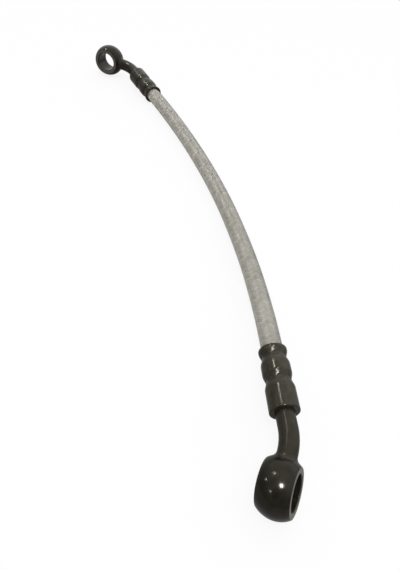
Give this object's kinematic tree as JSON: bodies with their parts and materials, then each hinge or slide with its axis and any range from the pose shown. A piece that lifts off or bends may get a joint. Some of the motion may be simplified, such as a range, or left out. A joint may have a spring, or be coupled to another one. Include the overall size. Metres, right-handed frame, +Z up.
{
  "type": "hydraulic hose",
  "caption": "Short braided hydraulic hose with a clear cover and a bent banjo fitting crimped on each end.",
  "frame": {"origin": "middle of the part's box in plan, on the plane that it lies on", "axes": "+Z up; +X from the near fitting to the far one, the far eye's bore lies nearly along it; the near eye's bore lies nearly along Y, 18 degrees off the level"},
  "size_m": [0.2126, 0.1792, 0.017],
  "materials": {
    "clear_cover": "clear smooth soft plastic, slightly smoky",
    "steel_braid": "woven bright steel wire",
    "smooth_liner": "smooth milky slippery plastic",
    "black_plated_eye": "glossy olive-black plated steel with lightly worn seats",
    "black_plated_stem": "glossy olive-black plated steel pipe",
    "black_plated_ferrule": "glossy olive-black plated steel, crimped"
  },
  "bodies": {
    "root": {"hose_cover": "clear_cover", "hose_braid": "steel_braid", "hose_liner": "smooth_liner", "near_banjo_eye": "black_plated_eye", "near_stem": "black_plated_stem", "near_ferrule": "black_plated_ferrule", "far_banjo_eye": "black_plated_eye", "far_stem": "black_plated_stem", "far_ferrule": "black_plated_ferrule"}
  },
  "joints": []
}
